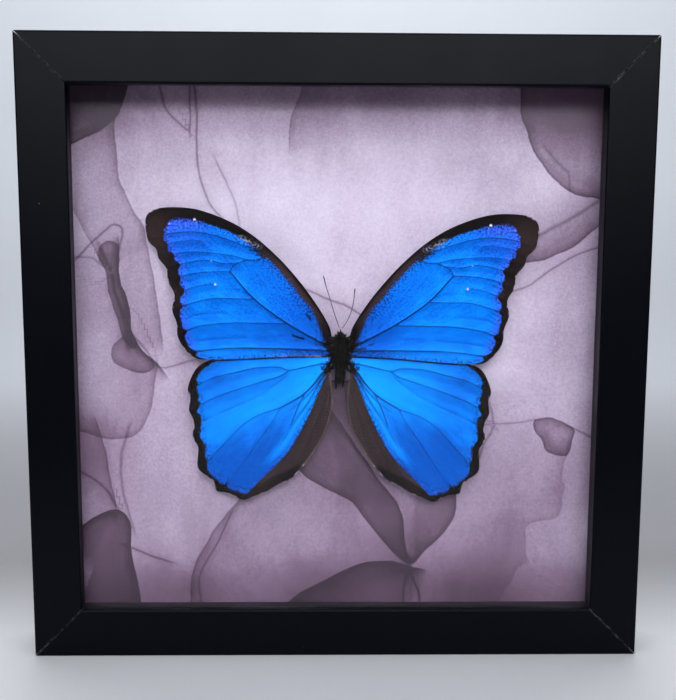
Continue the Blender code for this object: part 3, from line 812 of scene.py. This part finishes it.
def forewing_fields(points, outline, side):
    f = common_fields(points, outline, FOREWING_VEINS, FOREWING_FOLDS, FOREWING_BLUE)
    u, v = f["u"], f["v"]
    left = side == "left"
    from_costa = to_line(points, smooth(COSTA, 4))
    costal = 1 - ramp(from_costa, 3.5, 10)
    apex = bell(points, (59, 49.5), 6)
    f["spot"] = bells(points, FOREWING_SPOTS)
    # Painted glints, partly worn scales: a pale streak near the tip and, on the left wing, a pale line along
    # the inner margin.
    inner_margin_glint = ridge(v - 1.15, 0.35) * ramp(u, 4, 8) * (1 - ramp(u, 20, 30))
    f["glint_and_scuff"] = ridge(to_line(points, smooth(TIP_GLINT_AND_SCUFF, 4)), 0.75) + 0.8 * inner_margin_glint * left
    # Tone of the blue: painted sheen and shade of the iridescent blue, with some of the wing's own lighter
    # and deeper blue: lighter outwards and along the inner edge, darker near the tip and the root.
    f["tone"] = 0.3 * ramp(u, 4, 34) - (0.6 if left else 0.48)
    f["tone"] += bells(points, [(-0.6, 11, (62, 46)), (0.25, 18, (44, 22)), (-0.5, 8, (8, 9))])
    f["tone"] += 0.35 * ridge(v - 1.5, 3) * ramp(u, 10, 25)
    f["soft"] = 0.9 + 2.6 * costal * (1 - ramp(u, 26, 40)) + 5.0 * apex
    f["violet"] = (1 - ramp(f["blue"], 0.4, 4.0)) * ramp(u, 48, 57) + 0.5 * apex
    f["frayed"] = 0.15 + 0.85 * ramp(v, 3, 7)
    f["fringe"] = ramp(from_costa, 2.5, 5) * ramp(u, 40, 52)
    f["brown"] = bells(points, [(0.9, 8, (69, 46)), (0.5, 7, (64, 24))])
    f["brown"] += 1.2 * costal * ramp(f["edge"], 0.5, 1.6) * (1 - ramp(u, 22, 34)) * ramp(v, 10, 18)
    for strength, width, stroke in FOREWING_MARKS[side]:
        f["mark"] = np.maximum(f["mark"], strength * ridge(to_line(points, smooth(stroke, 4)), width))
    f["relief"] = vein_relief(f, 3 if left else 4) - 0.5 * (u / 60) ** 2
    if not left:  # the right wing is rippled near its outer margin
        ripple = np.max([bell(points, middle, 3.2) for middle in RIPPLES], axis=0)
        f["relief"] += 0.1 * ripple * np.sin((points @ [0.5, 0.87]) * 2 * math.pi / 1.5)
    return f


def hindwing_fields(points, outline, side):
    f = common_fields(points, outline, HINDWING_VEINS, HINDWING_FOLDS, HINDWING_BLUE)
    u, v, reach, ray = f["u"], f["v"], f["reach"], f["ray"]
    gap, left_or_right, _, _ = along(points, smooth(FLAP_FOLD, 6))
    flap = np.where(v > -4.5, -20.0, -gap * left_or_right).clip(-20, 20)
    pleated = ridge(flap + 2.6, 2.4) * ramp(-v, 6, 14) * (1 - 0.8 * ramp(-v, 32, 44))
    band_gap, band_side, _, _ = along(points, smooth(SHEEN_BAND, 6))
    below = -band_gap * band_side
    f["flap"] = flap
    # Painted glint at the root of the hind wing.
    f["glint_and_scuff"] = 1.1 * bell(points, (4.7, 0.7), 0.8)
    # Tone of the blue: painted sheen and shade of the iridescent blue, with some of the wing's own lighter
    # and deeper blue: lighter along the sheen band, on the pleats and near the root, darker below the band
    # and in two patches; the right wing gets two more patches.
    f["tone"] = 0.12 + 0.55 * ridge(band_gap, 5.5) + 0.65 * pleated + 0.25 * (1 - ramp(reach, 10, 26))
    f["tone"] -= 0.8 * ramp(below, 1, 24) * (1 - 0.8 * pleated) * ramp(reach, 16, 40)
    f["tone"] -= bells(points, [(0.25, 9, (47, -8)), (0.35, 11, (46, -36))])
    if side == "right":
        f["tone"] += bells(points, [(0.3, 10, (23, -8)), (-0.5, 10, (41, -27))])
    f["soft"] = 1.3 + 1.4 * bell(points, (36, -46), 12)
    f["violet"] = 0.45 * (1 - ramp(f["blue"], 0.4, 2.4)) * ramp(-v, 20, 34) * ramp(flap, -40, -4)
    f["brown"] = 0.4 * bell(points, (30, -50), 8)
    f["frayed"] = ramp(-v, 3, 8)
    f["fringe"] = ramp(reach, 30, 40) * ramp(-v, 8, 16)
    f["mark"] = bells(points, [(1.0, 1.4, (6.5, -3.2)), (0.7, 0.8, (9.5, -5.5))])
    pleat = np.sin(ray * 46) * ramp(flap, 0.5, 2.5) * 0.12 + np.sin(ray * 60) * pleated * 0.18
    f["relief"] = vein_relief(f, 7 if side == "left" else 8) + pleat - 0.3 * ramp(flap, 0, 8)
    f["relief"] -= 0.4 * (u / 60) ** 2
    return f


def wing_scales(kind):
    """Blue scales in fine rows with painted sheen and shade, a black scaled border, dark veins and painted
    shade along the creases, pale flecks, painted glints and spots.
    """
    p = Paint(f"blue {kind} scales")
    v, edge, reach, ray = (p.field(name) for name in ("v", "edge", "reach", "ray"))
    across = p.vector(p.field("u"), v)
    dusting = p.noise(across, 1.6, roughness=0.75)
    scale_gap, scale_chance = p.cells(across, 3.6)
    mottling = p.noise(across, 0.16)
    streaks = p.noise(p.vector(ray * 9.0, reach * 0.05), 2.4, detail=4.0, roughness=0.65)
    fine_streaks = p.noise(p.vector(ray * 34.0, reach * 0.06), 1.7)

    # Blue, deeper where the tone field is low, dusted away towards the border. The tone field carries painted
    # sheen and shade of the iridescent blue along with the wing's own lighter and deeper blue.
    vein, share = p.field("vein"), p.field("vein_share")
    notch = p.fall(vein, 0.2, 1.8) * p.fall(edge, 3.0, 8.0)
    blue_depth = p.field("blue") - notch * 1.2
    ragged = p.noise(across, 0.85, detail=2.0) - 0.5
    rough_depth = blue_depth + (dusting - 0.5) * (p.field("soft") * 2.0)
    rough_depth += ragged * (p.field("frayed") * 1.5)
    is_blue = p.rise(rough_depth, -0.2, 0.4)
    tone = p.field("tone") + (mottling - 0.5) * 0.6
    tone += (streaks - 0.5) * 0.8
    tone += (fine_streaks - 0.5) * 0.55
    tone = p.math("ADD", tone * 0.62, 0.32, clamp=True)
    blue = p.mix(tone, (0.0004, 0.078, 0.43), (0.0002, 0.24, 0.9))
    speckle = p.noise(across, 1.25, detail=2.0, roughness=0.6)
    mottled = p.fall(tone, 0.05, 0.45) * p.rise(speckle, 0.44, 0.6)
    blue = p.mix(mottled * 0.6, blue, (0.0008, 0.03, 0.22))
    blue = p.mix(p.field("violet") * 0.65, blue, (0.03, 0.085, 0.6))
    sparkle = 0.8 + scale_chance * 0.4
    blue = p.mix(1.0, blue, p.vector(sparkle, sparkle, sparkle), "MULTIPLY")
    worn_away = p.fall(blue_depth, 0.8, 1.6 + p.field("soft")) * p.rise(speckle, 0.48, 0.58)
    blue = p.mix(worn_away * 0.75, blue, (0.003, 0.006, 0.045))

    # Veins: near black at the root, thinner and bluer towards the rim
    taper = p.fall(reach, 10.0, 62.0)
    width = 0.02 + share * (0.45 + taper * 0.55) * 0.19
    width += share * p.fall(reach, 5.0, 22.0) * 0.14
    vein_line = p.fall(vein - width, 0.0, 0.24) * (0.34 + share * 0.6)
    near_root = p.fall(reach, 12.0, 34.0)
    # Painted shade along the creases: dark lines, stronger near the root.
    crease_shade_line = p.fall(p.field("fold"), 0.02, 0.45) * (0.4 + near_root * 0.45)
    blue = p.mix(p.most(vein_line, crease_shade_line), blue, (0.002, 0.01, 0.045))
    root_dust = p.fall(reach, 5.0, 13.0) * p.rise(dusting, 0.5, 0.66)
    mark = p.rise(p.field("mark") + (dusting - 0.5) * 1.9, 0.5, 0.72)
    blue = p.mix(p.most(root_dust, mark) * 0.85, blue, (0.003, 0.005, 0.018))

    # Border: black scales, browner where they are worn, with pale fringe flecks at the rim
    border = p.mix(dusting, (0.0012, 0.0009, 0.0014), (0.0075, 0.005, 0.0055))
    brown = p.field("brown") * (0.35 + dusting)
    border = p.mix(p.math("MULTIPLY", brown, 0.55, clamp=True), border, (0.048, 0.026, 0.024))
    colour = p.mix(is_blue, border, blue)

    # Folded inner flap of a hind wing: grey brown, ribbed along its length, dark at its foot
    ribs = p.noise(p.vector(ray * 30.0, reach * 0.04), 1.6)
    grey = p.mix(ribs, (0.01, 0.006, 0.007), (0.044, 0.028, 0.031))
    grey = p.mix(p.fall(edge, 0.1, 1.0) * 0.6, grey, (0.13, 0.092, 0.082))
    foot_edge = p.fall(edge, 1.8, 5.4) * p.fall(v, -46.0, -36.0)
    grey = p.mix(p.rise(foot_edge + (dusting - 0.5) * 0.6, 0.3, 0.7), grey, border)
    in_flap = p.rise(p.field("flap") + (dusting - 0.5) * 1.2, -0.3, 0.5)
    colour = p.mix(in_flap, colour, grey)

    # Pale things: fringe flecks in the bays of the rim, pale streaks that are painted glints and partly worn
    # scales, and small spots
    fringe = p.fall(edge, 0.15, 0.5) * p.rise(p.noise(across, 0.4, detail=2.0), 0.54, 0.6)
    colour = p.mix(fringe * p.field("fringe") * 0.85, colour, (0.42, 0.36, 0.4))
    glint_and_scuff = p.field("glint_and_scuff") * p.rise(p.noise(across, 1.1), 0.42, 0.62)
    colour = p.mix(glint_and_scuff * 0.55, colour, (0.36, 0.33, 0.38))
    spot = p.rise(p.field("spot") * (0.5 + dusting), 0.3, 0.75) * 0.9
    colour = p.mix(spot, colour, (0.62, 0.55, 0.66))
    shine = is_blue * (1.0 - in_flap)

    rows = scale_gap * 0.7 + dusting * 0.5
    roughness = 0.56 + dusting * 0.2 - shine * 0.16
    return p.coated(colour, roughness, Metallic=shine * 0.35, Specular_IOR_Level=0.04,
                    bump=(rows, 0.05, 0.45))


def wings():
    kinds = {
        "forewing": (wing_scales("fore wing"), FOREWING_VEINS, WING_STEP, forewing_fields),
        "hindwing": (wing_scales("hind wing"), HINDWING_VEINS, -WING_STEP, hindwing_fields),
    }
    for side in ("left", "right"):
        left = side == "left"
        for kind, (material, veins, forward, field_maker) in kinds.items():
            name = f"{kind}_{side}"
            droop = RIGHT_FOREWING_DROOP if name == "forewing_right" else 0.0
            matrix = SPECIMEN @ Matrix.Rotation(droop, 4, "Y")
            outline = cad_outline(name, matrix.inverted())
            if left:
                outline[:, 0] *= -1
            outline = smooth(outline, 3, closed=True)
            points, faces = wing_points(outline, [line for _, line in veins])
            fields = field_maker(points, outline, side)
            verts, shell = wing_shell(points, faces, fields.pop("relief") + forward, left)
            doubled = {key: np.concatenate([value, value]) for key, value in fields.items()}
            piece(f"{name}_scaled", verts, shell, matrix, material, [name], doubled)


# ---- body, hair and feelers

def dark_chitin():
    """Black-brown hairy hide with rings."""
    p = Paint("black brown hide")
    place = p.position()
    fuzz = p.noise(place, 2.5, detail=4.0, roughness=0.7)
    rings = p.noise(p.stretch(place, 0.2, 0.2, 1.0), 1.1, detail=2.0)
    colour = p.mix(fuzz, (0.0015, 0.0012, 0.0014), (0.007, 0.005, 0.005))
    colour = p.mix(p.rise(rings, 0.5, 0.7), colour, (0.026, 0.019, 0.017))
    return p.coated(colour, 0.45 + fuzz * 0.3, Specular_IOR_Level=0.08, bump=(fuzz, 0.25, 0.7))


def dark_hair():
    """Black hair, with a brown one here and there."""
    p = Paint("black brown hair")
    tint = p.field("tint")
    clumps = p.noise(p.position(), 0.9, detail=2.0)
    colour = p.mix(p.rise(tint, 0.62, 0.98), (0.0006, 0.0005, 0.0008), (0.075, 0.056, 0.046))
    colour = p.mix(p.rise(clumps, 0.42, 0.58), colour, (0.0008, 0.0007, 0.001))
    return p.coated(colour, 0.55 + tint * 0.2, Specular_IOR_Level=0.12)


HAIR_POINTS = 7  # two rings of three and a tip
HAIR_FACES = [(0, 1, 4, 3), (1, 2, 5, 4), (2, 0, 3, 5), (3, 4, 6), (4, 5, 6), (5, 3, 6), (2, 1, 0)]
CREST_SPIKES = [  # where a spike of hair stands, where its tip is, how tall
    (-1.5, -2.3, 0.6), (-0.8, -1.2, 1.9), (-0.3, 0.0, 2.6), (0.5, 0.9, 1.0), (1.3, 2.2, 0.8),
]
BODY_LOW, BODY_HIGH = ABDOMEN[0] - ABDOMEN[1], HEAD[0] + HEAD[1]


def hairs(roots, directions, lengths, radius, bend=(0.0, 0.0, 0.0)):
    """Points of thin three-sided hairs that taper to a point and curve along bend."""
    directions = directions / np.linalg.norm(directions, axis=1, keepdims=True)
    side = np.cross(directions, [0.31, 0.87, 0.38])
    side /= np.linalg.norm(side, axis=1, keepdims=True)
    other = np.cross(directions, side)
    lengths = lengths[:, None]
    rings = []
    for share, width in ((0.0, 1.0), (0.5, 0.75)):
        middle = roots + directions * (lengths * share) + np.array(bend) * (lengths * share ** 2)
        for corner in range(3):
            angle = corner * 2 * math.pi / 3
            rings.append(middle + radius * width * (math.cos(angle) * side + math.sin(angle) * other))
    rings.append(roots + directions * lengths + np.array(bend) * lengths)
    return np.stack(rings, 1).reshape(-1, 3)


def lofted(rings, sides):
    """A closed tube through (middle x, y, z, half width, half depth) rings along z."""
    verts, faces = [], []
    for x, y, z, half_width, half_depth in rings:
        for i in range(sides):
            angle = 2 * math.pi * i / sides
            verts.append((x + half_width * math.cos(angle), y + half_depth * math.sin(angle), z))
    for k in range(len(rings) - 1):
        for i in range(sides):
            j = (i + 1) % sides
            faces.append([k * sides + i, k * sides + j, (k + 1) * sides + j, (k + 1) * sides + i])
    faces.append(list(range(sides))[::-1])
    faces.append([(len(rings) - 1) * sides + i for i in range(sides)])
    return verts, faces


def body_radius(z):
    """Half width and half depth of the body at a height, from its three overlapping ovals."""
    width, depth = 0.05, 0.05
    for middle, half_length, half_width, half_depth in (THORAX, ABDOMEN, HEAD):
        t = (z - middle) / half_length
        if abs(t) < 1:
            swell = math.sqrt(1 - t * t)
            width, depth = max(width, half_width * swell), max(depth, half_depth * swell)
    return width, depth


def body():
    rings = []
    for z in np.linspace(BODY_LOW + 0.03, BODY_HIGH - 0.03, 70):
        width, depth = body_radius(z)
        ringed = 1 + 0.045 * math.sin(z * 4.2) * (z < -1)
        rings.append((0, 0, z, width * ringed, depth * ringed))
    verts, faces = lofted(rings, 28)
    piece("butterfly_body", verts, faces, SPECIMEN, dark_chitin(), ["body"])

    verts = body_fur()
    count = len(verts) // HAIR_POINTS
    faces = [[HAIR_POINTS * i + v for v in face] for i in range(count) for face in HAIR_FACES]
    tint = np.repeat(np.random.default_rng(5).uniform(0, 1, count), HAIR_POINTS)
    piece("body_hair", verts, faces, SPECIMEN, dark_hair(), [], {"tint": tint})


def scattered(count, seed, spread):
    """Random numbers for a tuft of hairs: a spread of directions in three axes."""
    return np.random.default_rng(seed).normal(0, spread, (count, 3))


def body_fur():
    """Short fur all over, tufts beside the thorax over the wing roots, a crest on the head and two
    tails at the end of the abdomen."""
    rng = np.random.default_rng(11)
    count = 7000
    z = rng.uniform(BODY_LOW + 0.3, BODY_HIGH - 0.1, count)
    angle = rng.uniform(0, 2 * math.pi, count)
    radii = np.array([body_radius(value) for value in z])
    roots = columns(radii[:, 0] * np.cos(angle), radii[:, 1] * np.sin(angle), z)
    outward = columns(np.cos(angle), 0.6 * np.sin(angle), 0.0)
    lie = columns(0.0, 0.0, np.where(z > 8.0, 1.0, -1.1))
    lengths = rng.uniform(0.7, 1.7, count) * np.where(z > 8.5, 0.5, 1.0)
    parts = [hairs(roots, 0.75 * outward + lie + scattered(count, 12, 0.33), lengths, 0.07, 0.2 * lie)]

    for sign in (-1, 1):
        count = 2200
        share = rng.uniform(0, 1, count) ** 0.8
        foot = columns(sign * rng.uniform(1.6, 2.6, count), rng.uniform(-1.5, 0.0, count),
                       -3.0 + 11.5 * share)
        fan = columns(sign, -0.1, 1.5 * (share - 0.62)) + scattered(count, 20 + sign, 0.2)
        clump = 0.75 + 0.45 * np.sin(share * 31 + sign) + 0.2 * np.sin(share * 77)
        lengths = rng.uniform(0.9, 2.9, count) * (0.75 + 0.5 * share) * clump
        parts.append(hairs(foot, fan, lengths, 0.065, (0, 0.1, -0.12)))

        count = 420
        foot = columns(sign * rng.uniform(1.0, 1.6, count) - 0.2, rng.uniform(-1, 0.8, count),
                       rng.uniform(BODY_LOW + 0.8, BODY_LOW + 4.5, count))
        tail = scattered(count, 30 + sign, 0.05) + [sign * 0.02, 0, -1]
        parts.append(hairs(foot, tail, rng.uniform(2.2, 4.4 - 0.6 * sign, count), 0.06))

    for across, tip, height in CREST_SPIKES:
        count = 110
        foot = columns(across + rng.normal(0, 0.22, count), rng.uniform(-1.0, 0.6, count),
                       rng.uniform(8.2, 9.2, count))
        aim = np.array([tip, -0.4, 9.4 + height]) + rng.normal(0, 0.1, (count, 3)) - foot
        lengths = np.linalg.norm(aim, axis=1) * rng.uniform(0.6, 1.0, count)
        parts.append(hairs(foot, aim, lengths, 0.06))
    return np.vstack(parts)


def antenna(name, route):
    """A thin jointed feeler that thickens towards its tip."""
    path = smooth(route, 10)
    run = np.concatenate([[0], np.cumsum(np.linalg.norm(np.diff(path, axis=0), axis=1))])
    run /= run[-1]
    joints = 1 + 0.08 * np.sin(run * 220)
    radius = 0.15 * (1 + 0.5 * ramp(run, 0.78, 0.95)) * joints * (1 - 0.6 * ramp(run, 0.97, 1.0))
    rings = [(u, -forward, v, r, r) for (u, forward, v), r in zip(path, radius)]
    verts, faces = lofted(rings, 8)
    piece(f"{name}_jointed", verts, faces, SPECIMEN, antenna_skin(), [name])


def antenna_skin():
    p = Paint("dark feeler")
    place = p.position()
    bands = p.noise(p.stretch(place, 0.3, 0.3, 3.0), 1.0, detail=1.0)
    colour = p.mix(bands, (0.006, 0.004, 0.005), (0.035, 0.022, 0.024))
    return p.coated(colour, 0.35 + bands * 0.2)


LEFT_ANTENNA = [(-0.5, 0.4, 12.1), (-2.3, 0.9, 17.0), (-4.2, 1.2, 23.0), (-5.8, 1.2, 27.8), (-6.8, 1.1, 31.6)]
RIGHT_ANTENNA = [(0.6, 0.4, 12.1), (2.4, 0.9, 15.0), (3.9, 1.2, 18.8), (4.7, 1.2, 23.0), (5.0, 1.1, 27.1)]


# ---- stage, lights and camera

FLOOR_FRONT = -0.25  # how far in front of the frame the floor still lights it

def stage_paint():
    """White card with a faint unevenness, and painted shade: darker on the floor behind the frame, lighter
    again far back and higher up the backdrop.
    """
    p = Paint("white card")
    place = p.position()
    _, y, z = p.split(place)
    # Painted shade and light: dark grey on the floor behind the frame, lighter far back, and lighter up the
    # backdrop.
    behind = p.rise(y, -60.0, 120.0)
    beyond = p.rise(y, 200.0, 1100.0)
    up = p.rise(z, 60.0, 420.0)
    tone = p.mix(behind, (0.94, 0.95, 0.97), (0.32, 0.32, 0.335))
    tone = p.mix(beyond, tone, (0.6, 0.62, 0.66))
    tone = p.mix(up, tone, (0.88, 0.91, 0.96))
    uneven = p.noise(place, 0.01)
    tone = p.mix(uneven * 0.1, tone, (0.5, 0.5, 0.52))
    return p.coated(tone, 0.7, Specular_IOR_Level=0.2)


def stage_sheet(name, profile, paint):
    """A wide sheet that follows a profile of places back and up."""
    width = 2.4
    mesh = bpy.data.meshes.new(name)
    verts = [(x, y, z) for y, z in profile for x in (-width, width)]
    faces = [(2 * i, 2 * i + 1, 2 * i + 3, 2 * i + 2) for i in range(len(profile) - 1)]
    mesh.from_pydata(verts, [], faces)
    mesh.shade_smooth()
    mesh.materials.append(paint)
    sheet = new_object(name, mesh)
    sheet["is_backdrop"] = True
    return sheet


def stage():
    """Floor that sweeps up into a backdrop well behind the frame. The floor further in front
    is seen but throws no light back, as in a dim room."""
    paint = stage_paint()
    sweep_start, sweep_radius = 0.9, 0.4
    profile = [(FLOOR_FRONT, 0.0), (sweep_start, 0.0)]
    for i in range(1, 13):
        angle = math.pi / 2 * i / 12
        profile.append((sweep_start + sweep_radius * math.sin(angle), sweep_radius * (1 - math.cos(angle))))
    profile.append((sweep_start + sweep_radius, 2.2))
    stage_sheet("floor_and_backdrop", profile, paint)
    far_floor = stage_sheet("far_floor", [(-2.5, 0.0), (FLOOR_FRONT, 0.0)], paint)
    far_floor.visible_diffuse = False
    far_floor.visible_glossy = False


def area_light(name, place, target, size, power, colour):
    data = bpy.data.lights.new(name, "AREA")
    data.shape = "RECTANGLE"
    data.size, data.size_y = size
    data.energy = power
    data.color = colour
    lamp = new_object(name, data)
    lamp.location = place
    lamp.rotation_euler = (Vector(target) - Vector(place)).to_track_quat("-Z", "Y").to_euler()
    return lamp


def lights():
    middle = (0, 0, CENTRE_Z)
    cool = (0.95, 0.97, 1.0)
    key = area_light("key", (0.05, -1.45, CENTRE_Z + 0.66), middle, (0.7, 0.07), 7.1, cool)
    key.visible_glossy = False
    area_light("overhead", (0, -0.45, CENTRE_Z + 1.3), middle, (1.4, 0.7), 8.5, cool)
    area_light("backdrop_wash", (0, 0.35, 1.7), (0, 1.3, 0.9), (1.2, 0.4), 17, cool)
    area_light("back_fill", (0, 1.1, 1.0), middle, (1.2, 0.5), 3, cool)
    sheen = area_light("sheen_strip", (0, -1.5, CENTRE_Z + 0.52), middle, (1.6, 0.18), 15, (0.88, 0.94, 1.0))
    sheen.visible_diffuse = False
    world = bpy.data.worlds.new("dim room")
    bpy.context.scene.world = world
    world.use_nodes = True
    tree = world.node_tree
    background = tree.nodes["Background"]
    background.inputs["Color"].default_value = (0.8, 0.86, 1.0, 1.0)
    seen = tree.nodes.new("ShaderNodeLightPath").outputs["Is Camera Ray"]
    strength = tree.nodes.new("ShaderNodeMapRange")
    strength.inputs["To Min"].default_value = 0.06
    strength.inputs["To Max"].default_value = 0.7
    tree.links.new(seen, strength.inputs["Value"])
    tree.links.new(strength.outputs[0], background.inputs["Strength"])


def camera():
    """Just above the middle of the frame and a little to its left, looking slightly down."""
    data = bpy.data.cameras.new("camera")
    data.sensor_width = 36
    data.lens = 51.43
    data.shift_y = 0.0714
    data.clip_start = 0.01
    view = new_object("camera", data)
    turn = Euler((math.radians(82.5), 0, math.radians(-1.03))).to_matrix()
    turn = turn @ Matrix.Rotation(math.radians(0.21), 3, "Z")
    view.matrix_world = Matrix.Translation((-0.0064, -0.3808, 0.1465)) @ turn.to_4x4()
    bpy.context.scene.camera = view


def main():
    metal = zinc_plate()
    repaint(RAILS, frame_foil())
    repaint(["glass_pane"], clear_glass())
    repaint([name for name in nodes if name.startswith("spacer_")], spacer_card())
    repaint(["backing_board"], hardboard())
    repaint([name for name in nodes if name.startswith(("retaining_tab_", "hanger_nail_"))], metal)
    repaint(["sawtooth_hanger"], metal)
    repaint(["mounting_pad"], foam())
    printed_sheet()
    wings()
    body()
    antenna("antenna_left", LEFT_ANTENNA)
    antenna("antenna_right", RIGHT_ANTENNA)
    stage()
    lights()
    camera()
    bpy.context.scene.view_settings.view_transform = "Standard"


main()
boxes = {"cad": cad_box, "visual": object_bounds()}
{name: [list(corner) for corner in box] for name, box in boxes.items()}
